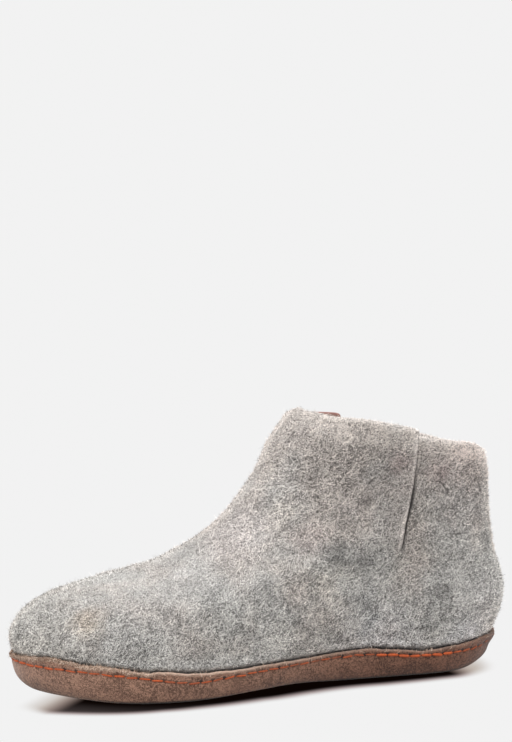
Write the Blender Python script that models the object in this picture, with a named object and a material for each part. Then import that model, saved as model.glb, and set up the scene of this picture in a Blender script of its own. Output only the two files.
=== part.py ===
"""Felted wool ankle slipper for a left foot, on a suede sole turned up round its edge.

The toe points along -X, the outer side of the foot is -Y, and the sole stands on z = 0. The felt is a stack of
closed loops, one for each row of LEVELS, from the sewn line at the top of the suede up to the collar.
"""

from collections import namedtuple
import math

import bmesh
import bpy
import numpy as np

# Driving dimensions, in metres
LENGTH = 0.2755           # felt, toe to heel
BALL_WIDTH = 0.102        # felt across the ball of the foot
HEEL_WIDTH = 0.076        # felt across the heel
COLLAR_FRONT = 0.143      # height of the collar at the instep
COLLAR_BACK = 0.1165      # height of the collar at the heel
TOE_SPRING = 0.0042       # lift of the sewn line at the toe
HEEL_SPRING = 0.0028      # the same at the back of the heel
TOE_SWING = 0.007         # shift of the toe toward the inner side
MIDLINE = -0.0032         # middle of the heel, set so that both sides of the foot reach equally far
WAIST_DIP = 0.007         # hollow of the inner side under the arch
SEWN_WAVE = 0.0009        # rise of the sewn line at the arch and toe, fall at the heel and ball
CORNER_DROP = 0.0030      # collar rounded off at its front and back
ARCH = 0.0020             # lift of the sole under the arch

# Thicknesses and gaps
FELT = 0.0045
SUEDE = 0.0018            # turned-up side of the sole
SOLE_FLOOR = 0.0030       # walked-on floor of the sole
INSOLE = 0.0050
GAP = 0.0003              # between pieces that touch

# Edge of the sole
EDGE_BALL = 0.0065        # how far the side runs in under the foot, beside the ball
EDGE_ENDS = 0.0115        # the same at the toe and heel
TOE_LIFT = 0.0012         # lift of the walked-on face at the toe
HEEL_LIFT = 0.0014        # the same at the back of the heel
FELT_FOOT = 78.0          # degrees round the edge at which the felt wall ends

# Slit in the outer side of the shaft
SLIT_LEVEL = 5.0          # row of LEVELS where the slit ends
SLIT_ANGLES = ((0.0, 77.143), (5.0, 72.0), (6.0, 78.2), (7.0, 82.0), (9.0, 86.2))   # row of LEVELS, angle
SLIT_GAP = 0.0010
SLIT_STEP = 0.0014        # each lip out of line with the other
FRONT_LIP_LIFT = 0.0022
REAR_LIP_DROP = 0.0030

# Tab inside the collar, on the inner side of the foot
TAB_THICK = 0.0012
TAB_ANGLES = (230.0, 253.0)
TAB_DEPTH_LEVEL = 7.6
TAB_STAND = 0.0043        # above the felt's topmost loop
TAB_GAP = 0.0004

COLUMNS = 56              # points round each loop
STEP_ANGLE = 360.0 / COLUMNS

# reach: front of the loop from the back of the heel, share of LENGTH
# front, back: heights of the loop's two ends, shares of COLLAR_FRONT and COLLAR_BACK
# inset: back of the loop from the back of the heel, share of LENGTH
# heel, ball: widths of the loop, shares of HEEL_WIDTH and BALL_WIDTH
# toe_round, heel_round: lengths over which the ends close, shares of LENGTH
# spring, swing, waist, wave: shares of the two springs, TOE_SWING, WAIST_DIP and SEWN_WAVE
COLUMN_NAMES = "reach front inset back heel ball toe_round heel_round spring swing waist wave"
Level = namedtuple("Level", COLUMN_NAMES)
LEVELS = (
    Level(0.9885, 0.105, 0.0340, 0.138, 0.930, 0.985, 0.260, 0.159, 1.0, 1.0, 1.00, 1.0),
    Level(0.9990, 0.165, 0.0135, 0.220, 0.985, 1.000, 0.260, 0.166, 0.9, 1.0, 0.75, 0.6),
    Level(0.9830, 0.244, 0.0010, 0.326, 1.000, 0.980, 0.274, 0.166, 0.7, 0.9, 0.50, 0.2),
    Level(0.9435, 0.320, 0.0065, 0.429, 0.985, 0.920, 0.296, 0.166, 0.3, 0.7, 0.25, 0.0),
    Level(0.8810, 0.369, 0.0205, 0.515, 0.960, 0.860, 0.332, 0.162, 0.0, 0.5, 0.00, 0.0),
    Level(0.7310, 0.440, 0.0285, 0.618, 0.945, 0.800, 0.361, 0.159, 0.0, 0.3, 0.00, 0.0),
    Level(0.6090, 0.571, 0.0335, 0.712, 0.930, 0.740, 0.318, 0.155, 0.0, 0.1, 0.00, 0.0),
    Level(0.5290, 0.744, 0.0355, 0.807, 0.920, 0.710, 0.238, 0.152, 0.0, 0.0, 0.00, 0.0),
    Level(0.4930, 0.887, 0.0370, 0.901, 0.920, 0.695, 0.188, 0.152, 0.0, 0.0, 0.00, 0.0),
    Level(0.4560, 0.985, 0.0450, 0.992, 0.920, 0.690, 0.162, 0.152, 0.0, 0.0, 0.00, 0.0),
)


def smooth(x):
    """Ease from 0 to 1."""
    x = np.clip(x, 0.0, 1.0)
    return x * x * (3.0 - 2.0 * x)


def closing(distance, radius):
    """Quarter ellipse: 0 at the end of a loop, 1 from the radius onward."""
    rest = np.clip(1.0 - distance / radius, 0.0, 1.0)
    return np.sqrt(1.0 - rest * rest)


def level_values(level):
    """Catmull-Rom blend of the LEVELS rows, one column of values for each name."""
    table = np.array(LEVELS)
    table = np.vstack([2 * table[0] - table[1], table, 2 * table[-1] - table[-2]])
    level = np.asarray(level, float)
    row = np.clip(np.floor(level).astype(int), 0, len(LEVELS) - 2)
    f = (level - row)[..., None]
    before, start, end, after = (table[row + k] for k in range(4))
    blend = 2 * start + (end - before) * f + (2 * before - 5 * start + 4 * end - after) * f**2
    blend = 0.5 * (blend + (3 * start - before - 3 * end + after) * f**3)
    return Level(*np.moveaxis(blend, -1, 0))


def felt_surface(angle, level):
    """Outer face of the felt; angle in degrees from the back of the heel, by the outer side to the toe and on."""
    v = level_values(level)
    share = (1.0 - np.cos(np.radians(angle))) / 2.0
    outer_side = np.mod(angle, 360.0) <= 180.0
    back = (0.5 - v.inset) * LENGTH
    front = (0.5 - v.reach) * LENGTH
    length = back - front
    toe_round = np.minimum(v.toe_round * LENGTH, 0.9 * length)
    ends = closing(share * length, v.heel_round * LENGTH) * closing((1.0 - share) * length, toe_round)
    widen = smooth((share - 0.3) / np.where(outer_side, 0.45, 0.42))
    half = 0.5 * (v.heel * HEEL_WIDTH * (1.0 - widen) + v.ball * BALL_WIDTH * widen)
    dip = v.waist * WAIST_DIP * np.exp(-(((share - 0.42) / 0.13) ** 2))
    half = (half - dip * np.where(outer_side, 0.35, 1.0)) * ends
    middle = MIDLINE + v.swing * TOE_SWING * smooth((share - 0.5) / 0.5)
    x = back - length * share
    y = middle + np.where(outer_side, -half, half)
    z = v.back * COLLAR_BACK * (1.0 - share) + v.front * COLLAR_FRONT * share
    z = z + v.spring * TOE_SPRING * smooth((share - 0.62) / 0.38)
    z = z + v.spring * HEEL_SPRING * smooth((0.07 - share) / 0.07)
    z = z + v.wave * SEWN_WAVE * np.cos(2.0 * math.pi * (share - 0.40) / 0.55)
    corner = np.exp(-share / 0.02) + np.exp(-(1.0 - share) / 0.02)
    z = z - CORNER_DROP * corner * smooth((level - 7.6) / 1.4)
    return np.stack([x, y, z], axis=-1)


def unit(vectors):
    return vectors / np.linalg.norm(vectors, axis=-1, keepdims=True)


def felt_normal(angle, level):
    """Outward unit normal of the felt, turning level toward the sewn line."""
    along = felt_surface(angle + 0.2, level) - felt_surface(angle - 0.2, level)
    low = np.maximum(level - 0.02, 0.0)
    high = np.minimum(level + 0.02, len(LEVELS) - 1.0)
    rise = felt_surface(angle, high) - felt_surface(angle, low)
    full = unit(np.cross(rise, along))
    flat = unit(np.stack([-along[..., 1], along[..., 0], np.zeros_like(along[..., 0])], axis=-1))
    return unit(flat + (full - flat) * smooth(level)[..., None])


def plan_offset(angle, distance):
    """Sewn line moved out by a distance in plan."""
    level = np.zeros_like(angle)
    return felt_surface(angle, level) + felt_normal(angle, level) * np.asarray(distance)[..., None]


def walked_on(angle):
    """Height of the sole's lower face: flat at heel and ball, lifted under the arch and at both ends."""
    share = (1.0 - np.cos(np.radians(angle))) / 2.0
    hollow = np.clip(1.0 - ((share - 0.52) / 0.18) ** 2, 0.0, 1.0) ** 2
    toe = smooth((share - 0.81) / 0.19)
    heel = smooth((0.10 - share) / 0.10)
    return ARCH * hollow + TOE_LIFT * toe + HEEL_LIFT * heel


def edge_round(angle):
    """How far the sole's side runs in under the foot: least beside the ball, more behind it, most at the ends."""
    share = (1.0 - np.cos(np.radians(angle))) / 2.0
    more = smooth((share - 0.78) / 0.20) + 0.5 * smooth((0.56 - share) / 0.12) + 0.5 * smooth((0.16 - share) / 0.16)
    return EDGE_BALL + (EDGE_ENDS - EDGE_BALL) * more


def tray(angle, turn, side, floor):
    """Loop of the turned-up edge: turn runs from 0 at the sewn line to 90 degrees at the floor."""
    turn = math.radians(turn)
    points = plan_offset(angle, side - edge_round(angle) * (1.0 - math.cos(turn)))
    points[:, 2] -= (points[:, 2] - walked_on(angle) - floor) * math.sin(turn)
    return points


def ladder(first, count):
    """Faces that close a loop of points straight across, from the heel to the toe."""
    half = count // 2
    left = [first + k for k in range(half + 1)]
    right = [first + (count - k) % count for k in range(half + 1)]
    faces = [(left[0], left[1], right[1])]
    faces += [(left[k], left[k + 1], right[k + 1], right[k]) for k in range(1, half - 1)]
    faces.append((left[half - 1], left[half], right[half - 1]))
    return faces


def bands(rows, columns, wrap_rows, wrap_columns):
    """Quads between neighbouring rows of a grid of points."""
    faces = []
    for r in range(rows if wrap_rows else rows - 1):
        s = (r + 1) % rows
        for c in range(columns if wrap_columns else columns - 1):
            d = (c + 1) % columns
            faces.append((r * columns + c, r * columns + d, s * columns + d, s * columns + c))
    return faces


def make_piece(name, points, faces, colour, roughness, parent):
    """Closed mesh object with its own material."""
    mesh = bpy.data.meshes.new(name)
    mesh.from_pydata(np.asarray(points).reshape(-1, 3).tolist(), [], faces)
    body = bmesh.new()
    body.from_mesh(mesh)
    bmesh.ops.remove_doubles(body, verts=body.verts, dist=1e-6)
    bmesh.ops.recalc_face_normals(body, faces=body.faces)
    body.to_mesh(mesh)
    body.free()
    mesh.shade_smooth()
    mesh.set_sharp_from_angle(angle=math.radians(40.0))
    material = bpy.data.materials.new(name)
    material.use_nodes = True
    shader = material.node_tree.nodes["Principled BSDF"]
    shader.inputs["Base Color"].default_value = (*colour, 1.0)
    shader.inputs["Roughness"].default_value = roughness
    shader.inputs["Metallic"].default_value = 0.0
    mesh.materials.append(material)
    piece = bpy.data.objects.new(name, mesh)
    piece.parent = parent
    bpy.context.collection.objects.link(piece)
    return piece


def lip_shift(points, normals, level):
    """Move the two lips of the slit apart, the front one out and up and the rear one in and down."""
    run = np.linalg.norm(np.diff(points, axis=1), axis=-1)
    from_front = np.concatenate([np.zeros((len(points), 1)), np.cumsum(run, axis=1)], axis=1)
    from_rear = from_front[:, -1:] - from_front
    front = np.exp(-((from_front / 0.018) ** 2))
    rear = np.exp(-((from_rear / 0.018) ** 2))
    opened = smooth((level - SLIT_LEVEL) / 1.5)[:, None, None]
    raised = smooth((level - 6.5) / 2.5)[:, None]
    along = unit(np.gradient(points, axis=1))
    shifted = points + opened * SLIT_STEP * (front - rear)[..., None] * normals
    shifted = shifted + opened * 0.5 * SLIT_GAP * (front - rear)[..., None] * along
    lift = FRONT_LIP_LIFT * np.exp(-((from_front / 0.040) ** 2))
    drop = REAR_LIP_DROP * np.exp(-((from_rear / 0.026) ** 2))
    shifted[..., 2] += raised * (lift - drop)
    return shifted


def build_upper(parent):
    """Felt wall: outer face up to the collar, rounded rim, inner face back down, and the slit's two lips."""
    levels = np.linspace(0.0, len(LEVELS) - 1.0, 2 * len(LEVELS) - 1)
    turns = (FELT_FOOT, 52.0, 26.0)
    slit = np.interp(levels, *zip(*SLIT_ANGLES))
    steps = np.arange(COLUMNS + 1) * STEP_ANGLE
    angle = slit[:, None] + steps
    level = np.broadcast_to(levels[:, None], angle.shape)
    normals = felt_normal(angle, level)
    outer = felt_surface(angle, level)
    inner = lip_shift(outer - FELT * normals, normals, levels)
    outer = lip_shift(outer, normals, levels)

    foot = slit[0] + steps
    foot_outer = [tray(foot, turn, 0.0, SOLE_FLOOR + GAP) for turn in turns]
    foot_inner = [tray(foot, turn, -FELT, SOLE_FLOOR + GAP) for turn in turns]
    outer = np.concatenate([foot_outer, outer])
    inner = np.concatenate([foot_inner, inner])

    top = 0.5 * (outer[-1] + inner[-1])
    up = 0.5 * FELT * unit(outer[-1] - outer[-2])
    rim = [top + math.cos(a) * (outer[-1] - top) + math.sin(a) * up for a in np.radians((40.0, 90.0, 140.0))]
    ring = np.concatenate([outer, rim, inner[::-1]])

    rows = len(outer)
    width = COLUMNS + 1
    faces = bands(len(ring), width, True, False)
    slit_row = len(turns) + int(np.searchsorted(levels, SLIT_LEVEL))
    for column in (0, COLUMNS):
        out = [r * width + column for r in range(rows)]
        into = [(len(ring) - 1 - r) * width + column for r in range(rows)]
        faces += [(out[r], out[r + 1], into[r + 1], into[r]) for r in range(slit_row, rows - 1)]
        faces.append(tuple(r * width + column for r in range(rows - 1, rows + len(rim) + 1)))
    return make_piece("upper", ring, faces, (0.30, 0.29, 0.28), 0.95, parent)


def build_sole(parent):
    """Suede tray: floor, inner side, cut edge, outer side and walked-on face."""
    angle = np.arange(COLUMNS) * STEP_ANGLE
    turns = (90.0, 72.0, 54.0, 36.0, 18.0, 0.0)
    inside = [tray(angle, turn, GAP, SOLE_FLOOR) for turn in turns]
    outside = [tray(angle, turn, GAP + SUEDE, 0.0) for turn in reversed(turns)]
    rows = np.concatenate([inside, outside])
    faces = bands(len(rows), COLUMNS, False, True)
    faces += ladder(0, COLUMNS) + ladder((len(rows) - 1) * COLUMNS, COLUMNS)
    return make_piece("sole", rows, faces, (0.20, 0.155, 0.125), 0.9, parent)


def build_insole(parent):
    """Felt inlay that lies on the sole's floor inside the felt wall."""
    angle = np.arange(COLUMNS) * STEP_ANGLE
    foot = edge_round(angle) * (1.0 - math.cos(math.radians(FELT_FOOT))) + FELT
    bottom = plan_offset(angle, -foot - 2.0 * GAP)
    bottom[:, 2] = walked_on(angle) + SOLE_FLOOR + GAP
    middle = plan_offset(angle, -foot + 0.0022)
    middle[:, 2] = bottom[:, 2] + 0.6 * INSOLE
    top = plan_offset(angle, -foot + 0.0016)
    top[:, 2] = bottom[:, 2] + INSOLE
    rows = np.stack([bottom, middle, top])
    faces = bands(3, COLUMNS, False, True) + ladder(0, COLUMNS) + ladder(2 * COLUMNS, COLUMNS)
    return make_piece("insole", rows, faces, (0.36, 0.35, 0.34), 0.95, parent)


def build_tab(parent):
    """Leather tab that follows the inner face of the felt and stands a little above the collar."""
    levels = np.linspace(TAB_DEPTH_LEVEL, len(LEVELS) - 1.0, 4)
    angle = np.broadcast_to(np.linspace(*TAB_ANGLES, 6), (4, 6))
    level = np.broadcast_to(levels[:, None], angle.shape)
    wall = felt_surface(angle, level)
    normals = felt_normal(angle, level)
    stand = wall[-1] + TAB_STAND * unit(wall[-1] - wall[-2])
    wall = np.concatenate([wall, stand[None]])
    normals = np.concatenate([normals, normals[-1:]])
    behind = wall - (FELT + TAB_GAP) * normals
    before = behind - TAB_THICK * normals
    ring = np.concatenate([behind, before[::-1]])
    faces = bands(len(ring), 6, True, False)
    for column in (0, 5):
        back = [r * 6 + column for r in range(5)]
        face = [(9 - r) * 6 + column for r in range(5)]
        faces += [(back[r], back[r + 1], face[r + 1], face[r]) for r in range(4)]
    return make_piece("collar_tab", ring, faces, (0.32, 0.14, 0.10), 0.6, parent)


for leftover in list(bpy.data.objects):
    bpy.data.objects.remove(leftover)
slipper = bpy.data.objects.new("slipper", None)
bpy.context.collection.objects.link(slipper)
build_upper(slipper)
build_sole(slipper)
build_insole(slipper)
build_tab(slipper)
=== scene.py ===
"""Looks of a felted wool ankle slipper on a turned-up suede sole.

Each surface is a function of an angle round the foot and a level up the felt, as in the solids. The felt, the
suede, the sewing and the loose wool are whole arrays of points; nodes give the mottle and the nap.
"""

import math
from collections import namedtuple

import bpy
import numpy as np
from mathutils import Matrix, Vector


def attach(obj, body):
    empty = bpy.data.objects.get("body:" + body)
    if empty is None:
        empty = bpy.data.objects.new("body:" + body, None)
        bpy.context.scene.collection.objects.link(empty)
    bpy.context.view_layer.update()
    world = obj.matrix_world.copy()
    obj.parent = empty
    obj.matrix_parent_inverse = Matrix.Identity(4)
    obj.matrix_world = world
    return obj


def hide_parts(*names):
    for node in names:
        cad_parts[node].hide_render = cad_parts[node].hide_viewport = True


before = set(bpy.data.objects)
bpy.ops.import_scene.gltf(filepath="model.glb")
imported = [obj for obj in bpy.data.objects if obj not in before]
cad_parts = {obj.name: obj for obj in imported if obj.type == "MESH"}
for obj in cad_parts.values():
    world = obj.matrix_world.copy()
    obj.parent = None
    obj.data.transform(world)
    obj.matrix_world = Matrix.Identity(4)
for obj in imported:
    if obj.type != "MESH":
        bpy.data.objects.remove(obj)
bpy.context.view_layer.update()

# Sizes in metres, as in the solids; only the arch and the toe's lift are fitted a little closer to the photo
LENGTH = 0.2755
BALL_WIDTH = 0.102
HEEL_WIDTH = 0.076
COLLAR_FRONT = 0.143
COLLAR_BACK = 0.1165
TOE_SPRING = 0.0042       # lift of the sewn line at the ends
HEEL_SPRING = 0.0028
TOE_SWING = 0.007         # toward the inner side
MIDLINE = -0.0032         # middle of the heel
WAIST_DIP = 0.007         # hollow beside the arch
SEWN_WAVE = 0.0009        # rise and fall of the sewn line
CORNER_DROP = 0.0030      # collar rounded off at its front and back
ARCH = 0.0019             # lift of the walked-on face under the arch
FELT = 0.0045             # thicknesses
SUEDE = 0.0018
SOLE_FLOOR = 0.0030
INSOLE = 0.0050
GAP = 0.0003              # between pieces
EDGE_BALL = 0.0065        # how far the sole's side runs in under the foot
EDGE_ENDS = 0.0115
TOE_LIFT = 0.0017         # lift of the walked-on face at the ends
HEEL_LIFT = 0.0014
FELT_FOOT = 78.0          # turn under the foot, in degrees, at which the felt ends
SLIT_LEVEL = 5.0          # lower end of the slit
# level, angle along the slit
SLIT_ANGLES = ((0.0, 77.143), (5.0, 72.0), (6.0, 78.2), (7.0, 82.0), (9.0, 86.2))
COLUMN_NAMES = "reach front inset back heel ball toe_round heel_round spring swing waist wave"
Level = namedtuple("Level", COLUMN_NAMES)
LEVELS = (
    Level(0.9885, 0.105, 0.0340, 0.138, 0.930, 0.985, 0.260, 0.159, 1.0, 1.0, 1.00, 1.0),
    Level(0.9990, 0.165, 0.0135, 0.220, 0.985, 1.000, 0.260, 0.166, 0.9, 1.0, 0.75, 0.6),
    Level(0.9830, 0.244, 0.0010, 0.326, 1.000, 0.980, 0.274, 0.166, 0.7, 0.9, 0.50, 0.2),
    Level(0.9435, 0.320, 0.0065, 0.429, 0.985, 0.920, 0.296, 0.166, 0.3, 0.7, 0.25, 0.0),
    Level(0.8810, 0.369, 0.0205, 0.515, 0.960, 0.860, 0.332, 0.162, 0.0, 0.5, 0.00, 0.0),
    Level(0.7310, 0.440, 0.0285, 0.618, 0.945, 0.800, 0.361, 0.159, 0.0, 0.3, 0.00, 0.0),
    Level(0.6090, 0.571, 0.0335, 0.712, 0.930, 0.740, 0.318, 0.155, 0.0, 0.1, 0.00, 0.0),
    Level(0.5290, 0.744, 0.0355, 0.807, 0.920, 0.710, 0.238, 0.152, 0.0, 0.0, 0.00, 0.0),
    Level(0.4930, 0.887, 0.0370, 0.901, 0.920, 0.695, 0.188, 0.152, 0.0, 0.0, 0.00, 0.0),
    Level(0.4560, 0.985, 0.0450, 0.992, 0.920, 0.690, 0.162, 0.152, 0.0, 0.0, 0.00, 0.0),
)

# Felt of the looks
COLUMNS = 400             # points round the felt
TUCK = 0.0012             # felt drawn in at the sewn line
SWELL = 0.0008            # and swelling just above it
LEVEL_RISE = 0.0085       # height of a level near the sewn line
FUZZ = 0.0005             # felt's body kept this far inside its fuzzy outline
SLIT_GAP = 0.0016
SLIT_STEP = 0.0013        # front lip out, rear lip in
FRONT_LIP_LIFT = 0.0031
REAR_LIP_DROP = 0.0007
SLIT_FADE_ROW = 82.0      # row where the slit's painted shade starts to fade toward the collar
SLIT_FADE_ROWS = 12.0

# Sewing
STITCH_PITCH = 0.0064
STITCH_DEPTH = 0.0025     # below the sewn line
THREAD_RADIUS = 0.00044

# Camera, from the photo's outline
CAMERA_AT = (-0.33090, -0.92806, 0.23752)
CAMERA_ALONG = (0.33050, 0.94075, -0.07591)
CAMERA_LENS = 90.206

# Studio light
WORLD_LIGHT = (0.71, 0.71, 0.71, 1.0)
KEY_ENERGY = 3.7
KEY_ALONG = (0.22, 0.10, -1.0)
KEY_WIDTH = math.radians(60.0)
PALE = (0.887, 0.887, 0.887, 1.0)
FLOOR_DULL = (0.42, 0.41, 0.40, 1.0)
SHADOW_END = (0.52, 0.46, 0.41, 1.0)
SHADOW_CORE = (0.003, 0.0015, 0.001, 1.0)
SHADOW_WARMTH = (1.06, 0.87, 0.86, 1.0)
WHITE = (1.0, 1.0, 1.0, 1.0)

# Colours of wool, suede, thread and leather, each from dark or dull to light
COOL_WOOL = (0.990, 0.980, 0.962, 1.0)
WARM_WOOL = (1.045, 0.975, 0.930, 1.0)
FELT_DARK = (0.07, 0.066, 0.063, 1.0)
FELT_LIGHT = (0.50, 0.49, 0.48, 1.0)
INLAY_DARK = (0.33, 0.32, 0.31, 1.0)
INLAY_LIGHT = (0.66, 0.65, 0.63, 1.0)
FIBRE_DARK = (0.055, 0.052, 0.050, 1.0)
FIBRE_PALE = (0.86, 0.85, 0.83, 1.0)
SUEDE_DARK = (0.090, 0.046, 0.030, 1.0)
SUEDE_LIGHT = (0.400, 0.233, 0.162, 1.0)
SUEDE_AT_TOE = (1.18, 1.16, 1.15, 1.0)
SUEDE_AT_HEEL = (0.61, 0.470, 0.408, 1.0)
SUEDE_CUT = (0.62, 0.455, 0.360, 1.0)
# painted contact shadow on the suede's side just above the floor
SUEDE_CONTACT_SHADE = (0.010, 0.005, 0.003, 1.0)
# painted shade inside the stitch holes
SUEDE_HOLE_SHADE = (0.022, 0.010, 0.007, 1.0)
FRAY_DARK = (0.26, 0.155, 0.105, 1.0)
FRAY_PALE = (0.80, 0.62, 0.49, 1.0)
THREAD_DULL = (0.24, 0.064, 0.026, 1.0)
THREAD_BRIGHT = (0.50, 0.083, 0.013, 1.0)
TAB_DARK = (0.29, 0.140, 0.115, 1.0)
TAB_LIGHT = (0.50, 0.280, 0.235, 1.0)


# Shape of the foot

def smooth(x):
    """Ease from 0 to 1: 3x^2 - 2x^3."""
    x = np.clip(x, 0.0, 1.0)
    return x * x * (3.0 - 2.0 * x)


def closing(distance, radius):
    """Quarter ellipse: 0 at the end of a loop, 1 from the radius onward."""
    rest = np.clip(1.0 - distance / radius, 0.0, 1.0)
    return np.sqrt(1.0 - rest * rest)


def bell(x):
    """Bell curve, 1 in the middle and 0 far out: e^(-x^2)."""
    return np.exp(-(x**2))


def unit(vectors):
    """Vectors divided by their lengths."""
    return vectors / np.linalg.norm(vectors, axis=-1, keepdims=True)


def heel_to_toe(angle):
    """Share of the foot's length from heel to toe: half of one less the angle's cosine."""
    return (1.0 - np.cos(np.radians(angle))) / 2.0


def turn_from(at, angle):
    """Degrees from one angle to others, the short way round."""
    return np.mod(angle - at + 180.0, 360.0) - 180.0


def level_values(level):
    """Catmull-Rom blend of the LEVELS rows, one array for each column name."""
    table = np.array(LEVELS)
    table = np.vstack([2 * table[0] - table[1], table, 2 * table[-1] - table[-2]])
    level = np.asarray(level, float)
    row = np.clip(np.floor(level).astype(int), 0, len(LEVELS) - 2)
    f = (level - row)[..., None]
    before, start, end, after = (table[row + k] for k in range(4))
    blend = 2 * start + (end - before) * f + (2 * before - 5 * start + 4 * end - after) * f**2
    blend = 0.5 * (blend + (3 * start - before - 3 * end + after) * f**3)
    return Level(*np.moveaxis(blend, -1, 0))


def felt_surface(angle, level):
    """Outer face of the felt: closed loops that end in quarter ellipses, wider at the ball than the heel."""
    v = level_values(level)
    share = heel_to_toe(angle)
    outer_side = np.mod(angle, 360.0) <= 180.0
    back = (0.5 - v.inset) * LENGTH
    front = (0.5 - v.reach) * LENGTH
    length = back - front
    toe_round = np.minimum(v.toe_round * LENGTH, 0.9 * length)
    ends = closing(share * length, v.heel_round * LENGTH) * closing((1.0 - share) * length, toe_round)
    widen = smooth((share - 0.3) / np.where(outer_side, 0.45, 0.42))
    half = 0.5 * (v.heel * HEEL_WIDTH * (1.0 - widen) + v.ball * BALL_WIDTH * widen)
    dip = v.waist * WAIST_DIP * bell((share - 0.42) / 0.13)
    half = (half - dip * np.where(outer_side, 0.35, 1.0)) * ends
    middle = MIDLINE + v.swing * TOE_SWING * smooth((share - 0.5) / 0.5)
    x = back - length * share
    y = middle + np.where(outer_side, -half, half)
    z = v.back * COLLAR_BACK * (1.0 - share) + v.front * COLLAR_FRONT * share
    z = z + v.spring * TOE_SPRING * smooth((share - 0.62) / 0.38)
    z = z + v.spring * HEEL_SPRING * smooth((0.07 - share) / 0.07)
    z = z + v.wave * SEWN_WAVE * np.cos(2.0 * math.pi * (share - 0.40) / 0.55)
    corner = np.exp(-share / 0.02) + np.exp(-(1.0 - share) / 0.02)
    z = z - CORNER_DROP * corner * smooth((level - 7.6) / 1.4)
    return np.stack([x, y, z], axis=-1)


def felt_normal(angle, level):
    """Outward normal: cross product of the steps up and along the felt, turned level at the sewn line."""
    along = felt_surface(angle + 0.2, level) - felt_surface(angle - 0.2, level)
    low = np.maximum(level - 0.02, 0.0)
    high = np.minimum(level + 0.02, len(LEVELS) - 1.0)
    rise = felt_surface(angle, high) - felt_surface(angle, low)
    full = unit(np.cross(rise, along))
    flat = unit(np.stack([-along[..., 1], along[..., 0], np.zeros_like(along[..., 0])], axis=-1))
    return unit(flat + (full - flat) * smooth(level)[..., None])


def plan_offset(angle, distance):
    """Sewn line moved out by a distance in plan."""
    level = np.zeros_like(angle)
    return felt_surface(angle, level) + felt_normal(angle, level) * np.asarray(distance)[..., None]


def walked_on(angle):
    """Height of the sole's lower face: flat at heel and ball, lifted under the arch and at both ends."""
    share = heel_to_toe(angle)
    hollow = np.clip(1.0 - ((share - 0.52) / 0.18) ** 2, 0.0, 1.0) ** 2
    toe = smooth((share - 0.81) / 0.19)
    heel = smooth((0.10 - share) / 0.10)
    return ARCH * hollow + TOE_LIFT * toe + HEEL_LIFT * heel


def edge_round(angle):
    """How far the sole's side runs in under the foot: least at the ball, more behind it, most at the ends."""
    share = heel_to_toe(angle)
    more = smooth((share - 0.78) / 0.20)
    more = more + 0.5 * smooth((0.56 - share) / 0.12) + 0.5 * smooth((0.16 - share) / 0.16)
    return EDGE_BALL + (EDGE_ENDS - EDGE_BALL) * more


def tray(angle, turn, side, floor):
    """Loops of the turned-up edge: a quarter ellipse from the sewn line, turn 0, to the floor, turn 90."""
    turn = np.radians(turn)
    points = plan_offset(angle, side - edge_round(angle) * (1.0 - np.cos(turn)))
    points[..., 2] -= (points[..., 2] - walked_on(angle) - floor) * np.sin(turn)
    return points


def lumps(points, size, seed):
    """Smooth random field from -1 to 1: eased blend of values hashed from the corners of cubic cells."""
    cell = points / size
    base = np.floor(cell).astype(np.int64)
    part = smooth(cell - base)
    field = np.zeros(points.shape[:-1])
    for corner in np.ndindex(2, 2, 2):
        corner = np.array(corner)
        key = ((base + corner) * np.array([73856093, 19349663, 83492791])).sum(axis=-1) + seed * 2654435761
        key = (key ^ (key >> 13)) * 1274126177 & 0x7FFFFFFF
        value = ((key >> 8) & 0xFFFF) / 32767.5 - 1.0
        field += value * np.where(corner, part, 1.0 - part).prod(axis=-1)
    return field


def hand_waves(angle, waves):
    """Sum of soft bumps, each with its angle, width and height."""
    total = np.zeros_like(angle)
    for at, wide, rise in waves:
        turn = turn_from(at, angle)
        total = total + rise * bell(turn / wide)
    return total


# Mesh helpers

def quads_between(index):
    """Quads between neighbouring rows and columns of one grid of vertex numbers, or of many."""
    corners = (index[..., :-1, :-1], index[..., 1:, :-1], index[..., 1:, 1:], index[..., :-1, 1:])
    return np.stack(corners, axis=-1).reshape(-1, 4)


def close_across(loop):
    """Quads straight across a closed loop with an even number of points, from each point to the one facing it.

    They face down where the loop runs from the heel along the outer side.
    """
    half = len(loop) // 2
    left, right = loop[:half], loop[:half - 1:-1]
    return np.stack([left[:-1], left[1:], right[1:], right[:-1]], axis=-1)


def close_edges(index, low):
    """Quads that close a ring's first and last columns, between the given rows and the rows that face them."""
    faces = []
    for column, order in ((0, (0, 1, 2, 3)), (-1, (3, 2, 1, 0))):
        side = index[:, column]
        facing = side[::-1]
        faces.append(np.stack([facing[low], facing[low + 1], side[low + 1], side[low]], axis=-1)[:, order])
    return np.concatenate(faces)


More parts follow.
